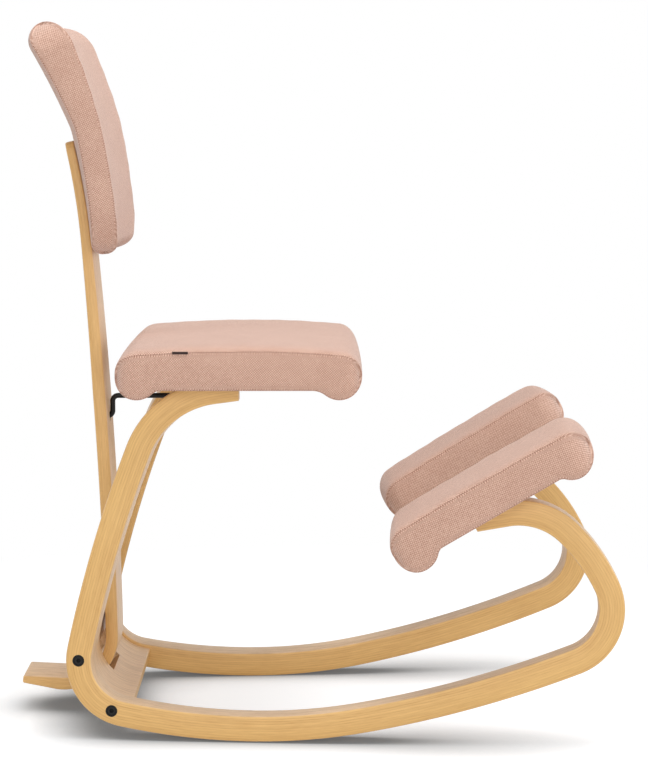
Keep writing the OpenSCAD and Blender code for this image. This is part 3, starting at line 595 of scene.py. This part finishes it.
def make_post():
    join = TAIL_JOIN
    h = math.radians(-TAIL_SLOPE)
    places = [(join[0] - TAIL_L * k * math.cos(h), join[1] - TAIL_L * k * math.sin(h),
               -TAIL_SLOPE, -TAIL_L * k) for k in (1, 0.995, 0.985, 0.97, 0.94, 0.75, 0.5, 0.25)]
    places += way(join[0], join[1], -TAIL_SLOPE, POST)
    total = places[-1][3]
    # a few more stations in the rounded upper end
    x, z, h, s = places[-1]
    hr = math.radians(h)
    extra = [(x - e * math.cos(hr), z - e * math.sin(hr), h, s - e) for e in (9, 6, 4, 2.4, 1.2, 0.4)]
    places = [p for p in places if p[3] < total - 11] + extra + [places[-1]]
    frames, sections = [], []
    r = EDGE_R
    for x, z, h, s in places:
        hr = math.radians(h)
        frames.append((x, z, -math.sin(hr), math.cos(hr), s))
        k = min(1.0, (s + TAIL_L) / TAIL_L)
        lo = -(TAIL_T + (POST_T - TAIL_T) * k) / 2
        hi = (TAIL_T + (POST_T - TAIL_T) * k) / 2 if s < 0 else post_thickness(z) - POST_T / 2
        to_end = min(s + TAIL_L, total - s)
        inset = r - math.sqrt(max(0.0, r * r - max(0.0, r - to_end) ** 2))
        half = POST_W / 2
        up_to = POST_CORNER - (total - s)
        if up_to > 0:
            half -= POST_CORNER - math.sqrt(max(0.0, POST_CORNER ** 2 - up_to ** 2))
        sections.append(rounded(lo + inset, hi - inset, -half + inset, half - inset, max(0.4, r - inset)))
    verts, faces = sweep(frames, sections)
    obj = new_object("back_post_band", [chair(v) for v in verts], faces, M_VENEER)
    cutters = [drill((ROD_FACE_X - MOUTH_L, 0, ROD_LOW_Z), (1, 0, 0), MOUTH_D / 2, POST_DRILL_L)]
    for rise in (BACK_BOLT_LOW, BACK_BOLT_LOW + BACK_BOLT_RISE):
        t = math.asin((BACK_LOW_Z + rise - HIGH_C[1]) / BACK_REAR_R)
        for y in (-BACK_BOLT_SPAN / 2, BACK_BOLT_SPAN / 2):
            d = BACK_REAR_R - CLEAR - BACK_GRIP
            cutters.append(drill((HIGH_C[0] + d * math.cos(t), y, HIGH_C[1] + d * math.sin(t)),
                                 (-math.cos(t), 0, -math.sin(t)), RECESS_D / 2, POST_DRILL_L))
    cut_holes(obj, cutters)
    s_all = np.array([f[4] for f in frames])
    lo_all = np.array([min(d for d, w in sec) for sec in sections])
    hi_all = np.array([max(d for d, w in sec) for sec in sections])
    band_attributes(obj.data, frames, from_part, (-POST_W / 2, POST_W / 2),
                    lambda s, p: (np.interp(s, s_all, lo_all), np.interp(s, s_all, hi_all)))
    smooth(obj.data)
    return obj


post = make_post()
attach(post, "root")
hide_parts("back_post")


# ---- cross panel ----
def polar(r, a):
    """(x, z) at a radius and an angle in degrees about the panel's bend."""
    t = math.radians(a)
    return BEND_C[0] + r * math.cos(t), BEND_C[1] + r * math.sin(t)


def make_panel():
    low = 270 - REAR[0][1]
    high = low - REAR[1][1]
    mid = BEND_R

    frames = []

    def frame_at(a, beyond, s):
        t = math.radians(a)
        x, z = polar(mid, a)
        x, z = x - math.sin(t) * beyond, z + math.cos(t) * beyond
        frames.append((x, z, -math.cos(t), -math.sin(t), s))

    for e in (8, 7.6, 6.9, 6, 3):
        frame_at(low, e * PANEL_FOOT / 8, -e)
    n = 30
    for k in range(n + 1):
        frame_at(low + (high - low) * k / n, 0, mid * math.radians(low - high) * k / n)
    s = frames[-1][4]
    for e in (8, 16, 24, 24.9, 25.6, 26):
        frame_at(high, -e, s + e)
    sections = []
    total = frames[-1][4]
    slope = math.tan(TOE)
    r = PANEL_EDGE_R
    for x, z, nx, nz, s in frames:
        to_end = min(s + PANEL_FOOT, total - s)
        inset = r - math.sqrt(max(0.0, r * r - max(0.0, r - to_end) ** 2))
        sec = []
        for d in (PANEL_T / 2 - inset, -PANEL_T / 2 + inset):
            px, pz = x + nx * d, z + nz * d
            y = RUNNER_GAP / 2 + px * slope - pz * math.tan(LEAN) / math.cos(TOE)
            sec.append((d, y))
        (d1, y1), (d0, y0) = sec
        ends = [(d1, y1), (d0, y0), (d0, -y0), (d1, -y1)]
        ring = []
        for i in range(4):
            (da, wa), (db, wb) = ends[i], ends[(i + 1) % 4]
            m = 4 if i % 2 == 0 else 12
            ring += [(da + (db - da) * k / m, wa + (wb - wa) * k / m) for k in range(m)]
        sections.append(ring)
    verts, faces = sweep(frames, sections)
    obj = new_object("cross_panel_band", [chair(v) for v in verts], faces, M_VENEER)
    # the slot for the post
    pin, pout = mid - PANEL_T / 2, mid + PANEL_T / 2
    outline = [polar(pin - 10, SLOT_UP), polar(pout + 10, SLOT_UP), polar(pout + 10, SLOT_LOW_OUT),
               polar(pout, SLOT_LOW_OUT), polar(pin, SLOT_LOW_IN), polar(pin - 10, SLOT_LOW_IN)]
    y = POST_W / 2 + SLOT_SIDE_PLAY
    verts = [chair((px, s * y, pz)) for s in (-1, 1) for px, pz in outline]
    m = len(outline)
    faces = [tuple(range(m)), tuple(range(2 * m - 1, m - 1, -1))]
    faces += [(k, m + k, m + (k + 1) % m, (k + 1) % m) for k in range(m)]
    cutter = new_object("cutter", verts, faces, M_BLACK)
    face_out(cutter.data)
    cut_holes(obj, [cutter])
    # the panel's sides lie against the runners, so the veneer doesn't fade toward them
    band_attributes(obj.data, frames, from_part, (-400, 400),
                    lambda s, p: (-PANEL_T / 2, PANEL_T / 2))
    smooth(obj.data)
    return obj


def post_meets(r):
    far = math.hypot(FOOT_C[0] - BEND_C[0], FOOT_C[1] - BEND_C[1])
    reach = FOOT_R + POST_T / 2
    lead = 180 - math.degrees(math.asin((FOOT_C[1] - BEND_C[1]) / far))
    return lead + math.degrees(math.acos((far * far + r * r - reach * reach) / (2 * far * r)))


SLOT_UP = BEND_MID - SLOT_ABOVE_MID
SLOT_LOW_IN = post_meets(BEND_R - PANEL_T / 2) + math.degrees(SLOT_PLAY / (BEND_R - PANEL_T / 2))
SLOT_LOW_OUT = post_meets(BEND_R + PANEL_T / 2) + math.degrees(CLEAR / (BEND_R + PANEL_T / 2))
panel = make_panel()
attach(panel, "root")
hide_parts("cross_panel")


# ---------------------------------------------------------------- cushions
def end_roll(h, rise, r, fillet):
    """The x of a fillet's centre where the flat underside meets the roll."""
    return h - math.sqrt((r + fillet) ** 2 - (rise + fillet) ** 2)


def cushion_columns(l, r, rise, crown, fillet_a, fillet_b, n=96, more=0.0):
    """Columns (x, low, high) of a cushion's side: rolled ends, crowned top, filleted underside.
    more is what the roll at the x < 0 end has in radius over the other; fillet_a is under that end."""
    h = l / 2 - r
    cr = r + (h * h + crown * crown) / (2 * crown)
    kz = rise + r + crown - cr
    touch_z = kz + math.sqrt((cr - r - more) ** 2 - (h - more) ** 2)
    rolls = {True: (r + more, h - more, touch_z, fillet_a), False: (r, h, rise, fillet_b)}
    cols = []
    for k in range(n + 1):
        x = -l / 2 * math.cos(math.pi * k / n)
        ax = abs(x)
        r, h, rise, fillet = rolls[x < 0]
        fx = end_roll(h, rise, r, fillet)
        tx = fx + (h - fx) * fillet / (r + fillet)
        ex = math.sqrt(max(0.0, r * r - (ax - h) ** 2)) if abs(ax - h) <= r else 0.0
        # top: the crown's arc up to where it touches the roll
        touch = h * cr / (cr - r)
        top = kz + math.sqrt(cr * cr - x * x) if ax <= touch else rise + ex
        if ax <= fx:
            low = 0.0
        elif ax <= tx:
            low = -fillet + math.sqrt(max(0.0, fillet ** 2 - (ax - fx) ** 2))
        else:
            low = rise - ex
        cols.append((x, low, top))
    return cols


def make_cushion(name, cols, half_w, place, shoulder=7.0, crown_y=2.5, bow=2.0, seed=0.0, rows=14, puff=1.5):
    """A sewn cushion. cols are (a, low, high) of its side; half_w(a, b) is its half width there;
    place(a, y, b) gives chair millimetres. The wrap runs round the side's outline and two side
    panels close it, each sewn in along a seam."""
    a = np.array([c[0] for c in cols])
    low = np.array([c[1] for c in cols])
    high = np.array([c[2] for c in cols])
    n = len(cols) - 1
    ring = np.concatenate([np.stack([a, high], 1), np.stack([a, low], 1)[n - 1:0:-1]])
    tang = np.roll(ring, -1, 0) - np.roll(ring, 1, 0)
    tang /= np.linalg.norm(tang, axis=1)[:, None]
    nrm = np.stack([-tang[:, 1], tang[:, 0]], 1)         # the ring runs clockwise, so this points out
    step = np.linalg.norm(np.roll(ring, -1, 0) - ring, axis=1)
    run = np.concatenate([[0], np.cumsum(step)[:-1]])
    m = len(ring)
    mid_a, span = (a[0] + a[-1]) / 2, (a[-1] - a[0]) / 2
    width = half_w(mid_a, (low[n // 2] + high[n // 2]) / 2)
    thick = high.max()
    # (distance in from the side, depth below the wrap, seam: how strongly painted shade darkens the seam's
    # groove)
    edge = [(0.0, 3.6, 0.0), (0.1, 2.6, 0.0), (0.6, 1.9, 0.5), (1.2, 1.5, 1.0), (0.9, 1.0, 0.5),
            (1.3, 0.5, 0.0), (2.5, 0.2, 0.0), (4.5, 0.05, 0.0), (8.0, 0.0, 0.0)]
    inner = 44
    rings = []
    for sign in (-1, 1):
        part = []
        for d, inset, seam in edge:
            p = ring - nrm * inset
            w = np.array([half_w(*q) for q in ring]) - d
            part.append((p, sign * w, seam))
        rings.append(part)
    body = []
    base = rings[0][-1]
    for k in range(1, inner):
        f = -1 + 2 * k / inner
        body.append((base[0], -base[1] * f, 0.0))
    order = rings[0] + body + rings[1][::-1]
    verts, cloth, seam_shade_at = [], [], []
    for p, y, seam in order:
        side = 1 - np.clip(np.abs(y) / width, 0, 1) ** 2
        up = np.clip((p[:, 1] - low.max()) / (thick - low.max()), 0, 1)
        from_side = np.abs(np.abs(y) - width)
        b = p[:, 1] + (crown_y * side + shoulder * (1 - np.exp(-from_side / SHOULDER_REACH))) * up
        ends = np.clip((np.abs(p[:, 0] - mid_a) - span * 0.72) / (span * 0.28), 0, 1)
        aa = p[:, 0] + np.sign(p[:, 0] - mid_a) * bow * side * ends
        # cloth pulled by its seams: small puckers that fade away from the side
        pull = np.exp(-from_side / PUCKER_REACH) * up
        fade_in = np.clip(from_side / PUCKER_START, 0, 1)
        b = b - PUCKER_H * pull * np.sin(run / PUCKER_L + seed) * fade_in
        wave = np.array([noise.noise(Vector((ai / WAVE_L + seed, yi / WAVE_L, bi / WAVE_L)))
                         for ai, yi, bi in zip(aa, y, b)])
        b = b + WAVE_H * wave * up
        verts += [place(ai, yi, bi) for ai, yi, bi in zip(aa, y, b)]
        cloth += [(r_ * MM, yi * MM, seed) for r_, yi in zip(run, y)]
        seam_shade_at += [seam] * m
    faces = []
    for i in range(len(order) - 1):
        s0, s1 = i * m, (i + 1) * m
        faces += [(s0 + k, s0 + (k + 1) % m, s1 + (k + 1) % m, s1 + k) for k in range(m)]
    # side panels
    for sign, start in ((-1, 0), (1, (len(order) - 1) * m)):
        p, y = order[0][0] if sign < 0 else order[-1][0], order[0][1] if sign < 0 else order[-1][1]
        top = [start + k for k in range(n + 1)]
        bottom = [start] + [start + m - k for k in range(1, n)] + [start + n]
        grid = [top]
        for j in range(1, rows):
            line = [top[0]]
            for k in range(1, n):
                t = j / rows
                pa = p[top[k] - start] * (1 - t) + p[bottom[k] - start] * t
                yy = y[top[k] - start] * (1 - t) + y[bottom[k] - start] * t
                reach = min(1.0, 3.2 * t, 3.2 * (1 - t), 6 * k / n, 6 * (n - k) / n)
                ripple = noise.noise(Vector((pa[0] / RIPPLE_L, seed + 9, pa[1] / RIPPLE_L)))
                swell = puff * math.sin(math.pi / 2 * reach) + RIPPLE_H * ripple
                line.append(len(verts))
                verts.append(place(pa[0], yy + sign * swell * min(1.0, 4 * reach), pa[1]))
                cloth.append((pa[0] * MM, (pa[1] + 500) * MM, seed + 1))
                seam_shade_at.append(0.0)
            line.append(top[n])
            grid.append(line)
        grid.append(bottom)
        for j in range(rows):
            for k in range(n):
                quad = [grid[j][k], grid[j][k + 1], grid[j + 1][k + 1], grid[j + 1][k]]
                quad = [v for i, v in enumerate(quad) if v not in quad[:i]]
                if len(quad) > 2:
                    faces.append(tuple(quad))
    obj = new_object(name, [chair(v) for v in verts], faces, M_CLOTH)
    face_out(obj.data)
    set_attribute(obj.data, "cloth", np.array(cloth))
    set_attribute(obj.data, "seam", np.array(seam_shade_at))
    smooth(obj.data, 180)
    return obj


def rounded_half(l, w, r):
    """Half width of a rounded rectangle of length l and width w at a."""
    def half(a, b=0.0):
        e = abs(a) - (l / 2 - r)
        if e <= 0:
            return w / 2
        return w / 2 - r + math.sqrt(max(0.0, r * r - min(e, r) ** 2))
    return half


seat = make_cushion("seat_cushion",
                    cushion_columns(SEAT_L, SEAT_ROLL, SEAT_RISE, SEAT_CROWN, fillet_a=16, fillet_b=26),
                    rounded_half(SEAT_L, SEAT_W, SEAT_CORNER),
                    lambda a, y, b: (SEAT_TIP[0] + a, y, SEAT_Z + b), seed=1.3)
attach(seat, "root")
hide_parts("seat_cover", "seat_foam")

pad_low = rounded_half(KNEE_L, KNEE_W, KNEE_LOW_CORNER)
pad_high = rounded_half(KNEE_L, KNEE_W, KNEE_HIGH_CORNER)
KNEE_TURN = math.atan(math.cos(KNEE_TILT) * math.tan(TOE))


def knee_place(side):
    c, s = math.cos(KNEE_TURN), math.sin(KNEE_TURN) * side
    return lambda a, y, b: knee_frame(KNEE_TIP_U + KNEE_AHEAD + a * c - y * s, KNEE_V + b,
                                      side * KNEE_Y + a * s + y * c)


for side, label in ((1, "left"), (-1, "right")):
    pad = make_cushion("knee_cushion_" + label,
                       cushion_columns(KNEE_L, KNEE_ROLL, KNEE_RISE, KNEE_CROWN, fillet_a=9, fillet_b=6,
                                       n=80, more=KNEE_ROLL_MORE),
                       lambda a, b=0.0: (pad_low if a < 0 else pad_high)(a),
                       knee_place(side),
                       shoulder=4.0, crown_y=1.0, bow=1.0, seed=4.1 + side, rows=12)
    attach(pad, "root")
    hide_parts("knee_cover_" + label, "knee_foam_" + label)


def back_columns(total, t, roll, fade, n=96):
    """Columns (height along the back, rear, front) of the back cushion."""
    c = total - roll
    rc = t - roll - 2
    f = c - fade
    # line from (f, 0) that touches the roll behind it
    dist, lead = math.hypot(c - f, rc), math.atan2(rc, c - f)
    tilt = lead - math.asin(roll / dist)
    touch = f + math.sqrt(dist ** 2 - roll ** 2) * math.cos(tilt)
    cols = []
    for k in range(n + 1):
        a = total * (1 - math.cos(math.pi * k / n)) / 2
        if a < t / 2:
            e = math.sqrt(max(0.0, (t / 2) ** 2 - (t / 2 - a) ** 2))
            cols.append((a, t / 2 - e, t / 2 + e))
            continue
        e = math.sqrt(max(0.0, roll ** 2 - (a - c) ** 2)) if a > c - roll else 0.0
        rear_at = 0.0 if a <= f else (a - f) * math.tan(tilt) if a <= touch else rc - e
        # the front's upper corner is a longer curve than the rear's
        ease = max(0.0, a - (total - BACK_FRONT_CURVE)) / BACK_FRONT_CURVE
        cols.append((a, rear_at, rc + (t - rc) * math.sqrt(max(0.0, 1 - ease ** 2))))
    return cols


low_a = math.asin((BACK_LOW_Z + BACK_T / 2 - HIGH_C[1]) / (BACK_REAR_R + BACK_T / 2))
ring_r = BACK_REAR_R + BACK_T - BACK_ROLL
high_a = math.asin((BACK_HIGH_Z - BACK_ROLL - HIGH_C[1]) / ring_r)
mid_r = BACK_REAR_R + BACK_T / 2
back_total = BACK_T / 2 + (high_a - low_a) * mid_r + BACK_ROLL


def back_place(a, y, b):
    t = low_a + (a - BACK_T / 2) / mid_r
    x0 = HIGH_C[0] + (BACK_REAR_R + b) * math.cos(t)
    z0 = HIGH_C[1] + (BACK_REAR_R + b) * math.sin(t)
    # both sides come forward, more so near the top
    wrap = WRAP + WRAP_MORE * max(0.0, min(1.0, (z0 - WRAP_FROM_Z) / WRAP_FADE))
    return x0 + wrap * (y / (BACK_W / 2)) ** 2, y, z0


half_low = rounded_half(back_total, BACK_W, BACK_LOW_CORNER)
half_high = rounded_half(back_total, BACK_W, BACK_CORNER)


def back_half(a, b=0.0):
    """Half width at a height along the back: both sides come in a little toward the top."""
    if a < back_total / 2:
        return half_low(a - back_total / 2)
    return half_high(a - back_total / 2) - NARROW * max(0.0, 1 - (back_total - a) / NARROW_L) ** 1.2


back = make_cushion("back_cushion", back_columns(back_total, BACK_T, BACK_ROLL, BACK_FADE),
                    back_half, back_place,
                    shoulder=0.8, crown_y=1.0, bow=0.5, seed=7.7, rows=10, puff=1.0)
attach(back, "root")
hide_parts("back_cover", "back_foam")


# ---- seam tag: a short folded strip that stands out of the seat's side seam ----
def make_tag():
    l, w, h, n = 20.0, 1.6, 3.2, 12
    x0, y0 = SEAT_TIP[0] - TAG_BEHIND_TIP - l / 2, -SEAT_W / 2 + 0.4
    z0 = SEAT_Z + SEAT_RISE + SEAT_ROLL + SEAT_CROWN - h
    prof = [(0.0, 0.0), (-w * 0.55, 0.0), (-w, h * 0.25), (-w, h * 0.75), (-w * 0.7, h),
            (-w * 0.2, h * 1.02), (0.0, h * 0.9)]
    verts, faces = [], []
    m = len(prof)
    for k in range(n + 1):
        wave = 0.15 * math.sin(k * 1.1)
        verts += [(x0 + l * k / n, y0 + dy + wave, z0 + dz) for dy, dz in prof]
    for k in range(n):
        faces += [(k * m + j, k * m + (j + 1) % m, (k + 1) * m + (j + 1) % m, (k + 1) * m + j)
                  for j in range(m)]
    faces += [tuple(range(m - 1, -1, -1)), tuple(n * m + j for j in range(m))]
    obj = new_object("seam_tag_strip", [chair(v) for v in verts], faces, M_TAG)
    co = coordinates(obj.data)
    set_attribute(obj.data, "cloth", np.stack([co[:, 0], co[:, 2] + co[:, 1], co[:, 1] * 0], 1))
    set_attribute(obj.data, "seam", np.zeros(len(co)))
    smooth(obj.data, 50)
    return obj


tag = make_tag()
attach(tag, "root")
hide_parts("seam_tag")


# ---------------------------------------------------------------- CAD nodes that stay
KEPT = {"panel_screws": M_BLACK, "panel_cups": M_BLACK, "panel_inserts": M_ZINC, "rod_sleeve": M_ZINC,
        "support_rod": M_BLACK, "rod_block": M_PLASTIC, "rod_block_screws": M_ZINC, "seat_board": M_PLY,
        "seat_bolts": M_BLACK, "seat_washers": M_ZINC, "seat_tee_nuts": M_ZINC,
        "knee_board_left": M_PLY, "knee_board_right": M_PLY, "knee_bolts": M_BLACK, "knee_washers": M_ZINC,
        "knee_tee_nuts": M_ZINC, "back_board": M_PLY, "back_bolts": M_BLACK, "back_washers": M_ZINC,
        "back_tee_nuts": M_ZINC}


def dress(obj, material):
    for s in obj.material_slots:
        s.link = "OBJECT"
        s.material = material
    if not obj.material_slots:
        obj.data.materials.append(material)
    if material is M_PLY:
        co = coordinates(obj.data)
        set_attribute(obj.data, "band", np.stack([co[:, 0], co[:, 2], co[:, 1]], 1))
        set_attribute(obj.data, "veneer", np.ones(len(co)))


for node, material in KEPT.items():
    for obj in bpy.data.objects:
        if obj.type == "MESH" and obj.name.split("/")[0].split(".")[0] == node:
            dress(obj, material)


# ---------------------------------------------------------------- floor, backdrop and light
def make_floor():
    bpy.ops.mesh.primitive_plane_add(size=12, location=(0, 0, 0))
    floor = bpy.context.object
    floor.name = "floor"
    g = Graph("floor_white_painted_shadow")
    g.tree.nodes.remove(g.bsdf)
    matte = g.add("ShaderNodeBsdfDiffuse")
    matte.inputs[0].default_value = (0.8, 0.8, 0.8, 1)
    # what the camera sees: a white floor with a painted shadow, its glow darkened by ambient occlusion where
    # the chair stands close over it
    near = g.add("ShaderNodeAmbientOcclusion", samples=24)
    near.inputs["Distance"].default_value = 0.1
    close = g.remap(near.outputs["AO"], 0.38, 0.96)
    painted_shadow_paper = g.add("ShaderNodeEmission")
    g.join(g.mix(close, (0.16, 0.16, 0.16, 1), (1, 1, 1, 1)), painted_shadow_paper.inputs[0])
    painted_shadow_paper.inputs[1].default_value = 0.6
    # the dim diffuse part carries the same painted shadow in its colour
    dim = g.add("ShaderNodeBsdfDiffuse")
    g.join(g.mix(close, (0.2, 0.22, 0.24, 1), (0.54, 0.55, 0.56, 1)), dim.inputs[0])
    shown = g.add("ShaderNodeAddShader")
    g.join(painted_shadow_paper.outputs[0], shown.inputs[0])
    g.join(dim.outputs[0], shown.inputs[1])
    glow = g.add("ShaderNodeEmission")
    glow.inputs[0].default_value = (1, 1, 1, 1)
    away = g.add("ShaderNodeVectorMath", operation="LENGTH")
    g.join(g.add("ShaderNodeTexCoord").outputs["Object"], away.inputs[0])
    far = g.add("ShaderNodeMixShader")
    g.join(g.remap(away.outputs["Value"], 0.6, 1.2), far.inputs[0])
    g.join(shown.outputs[0], far.inputs[1])
    g.join(glow.outputs[0], far.inputs[2])
    path = g.add("ShaderNodeLightPath")
    seen = g.math("MAXIMUM", path.outputs["Is Camera Ray"],
                  g.math("MAXIMUM", path.outputs["Is Glossy Ray"], path.outputs["Is Transmission Ray"]))
    both = g.add("ShaderNodeMixShader")
    g.join(seen, both.inputs[0])
    g.join(matte.outputs[0], both.inputs[1])
    g.join(far.outputs[0], both.inputs[2])
    g.join(both.outputs[0], g.out.inputs[0])
    floor.data.materials.append(g.mat)
    return floor


make_floor()

world = bpy.data.worlds.new("world")
bpy.context.scene.world = world
world.use_nodes = True
nodes, links = world.node_tree.nodes, world.node_tree.links
nodes.clear()
sky = nodes.new("ShaderNodeBackground")
sky.inputs[0].default_value = (1, 1, 1, 1)
seen = nodes.new("ShaderNodeLightPath")
most = nodes.new("ShaderNodeMath")
most.operation = "MAXIMUM"
links.new(seen.outputs["Is Camera Ray"], most.inputs[0])
links.new(seen.outputs["Is Glossy Ray"], most.inputs[1])
level = nodes.new("ShaderNodeMapRange")
level.inputs[3].default_value = 0.42
level.inputs[4].default_value = 1.0
links.new(most.outputs[0], level.inputs[0])
links.new(level.outputs[0], sky.inputs[1])
end = nodes.new("ShaderNodeOutputWorld")
links.new(sky.outputs[0], end.inputs[0])


def area(name, at, to, size, power):
    data = bpy.data.lights.new(name, "AREA")
    data.shape, data.size, data.energy = "SQUARE", size, power
    obj = bpy.data.objects.new(name, data)
    bpy.context.collection.objects.link(obj)
    obj.location = at
    obj.rotation_mode = "QUATERNION"
    obj.rotation_quaternion = (Vector(to) - Vector(at)).to_track_quat("-Z", "Y")
    return obj


area("front", (0.2, -3.4, 1.2), (0.0, 0.0, 0.45), 2.2, 41)
area("right", (3.0, -0.9, 1.3), (0.0, 0.0, 0.45), 2.0, 30)
area("left", (-3.0, -1.2, 1.3), (0.0, 0.0, 0.45), 2.0, 20)
area("top", (0.1, -0.2, 2.9), (0.0, 0.0, 0.3), 1.6, 47)

bpy.context.scene.view_settings.view_transform = "Standard"
